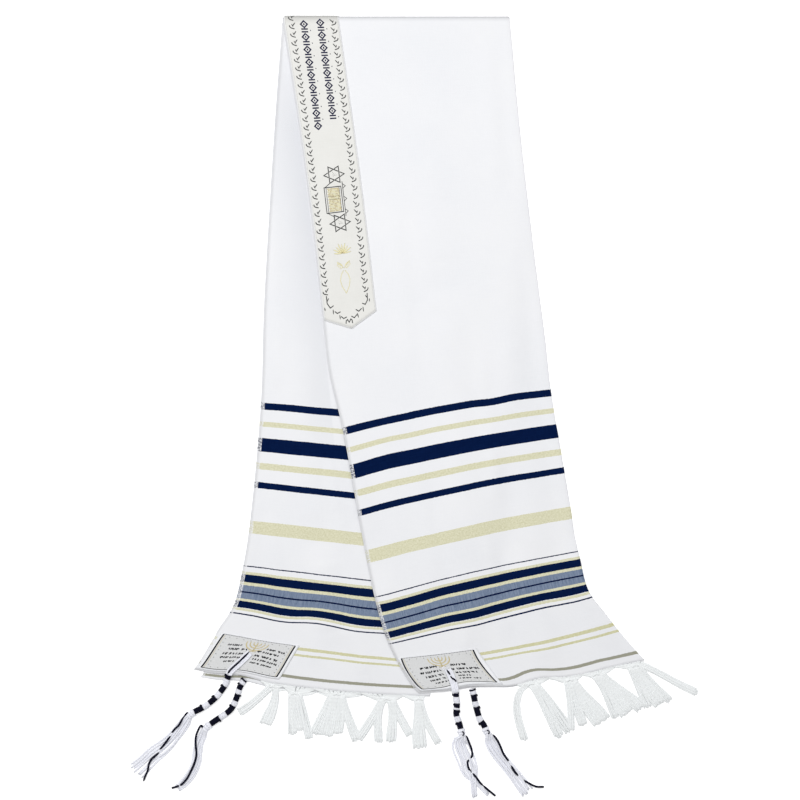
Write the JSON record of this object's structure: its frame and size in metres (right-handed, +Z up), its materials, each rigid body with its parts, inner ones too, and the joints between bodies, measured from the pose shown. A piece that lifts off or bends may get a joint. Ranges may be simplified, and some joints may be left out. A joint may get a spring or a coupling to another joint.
{
  "type": "tallit prayer shawl",
  "caption": "Long woven prayer shawl, folded lengthwise and laid over itself so that its two fringed falls spread in a narrow V, with a neckband, corner patches and knotted tassels.",
  "frame": {"origin": "middle of the footprint, on the surface that the shawl lies on", "axes": "+Z up from the surface, +Y from the hems towards the crosswise crease, +X to the right as the hems point towards the viewer"},
  "size_m": [0.7451, 1.0201, 0.0131],
  "materials": {
    "cloth": "soft matt plain weave, white with woven bands in navy, gold and grey-blue",
    "neckband": "ivory satin weave with fine stitched ornament",
    "patch": "silver-grey satin weave with fine stitched ornament",
    "yarn": "soft white twisted yarn, wound with navy on the corner tassels"
  },
  "bodies": {
    "root": {"cloth_front": "cloth", "cloth_back": "cloth", "atarah": "neckband", "patch_front": "patch", "patch_back": "patch", "fringe_front": "yarn", "fringe_back": "yarn", "tzitzit_front_over": "yarn", "tzitzit_front_under": "yarn", "tzitzit_back_over": "yarn", "tzitzit_back_under": "yarn"}
  },
  "joints": []
}
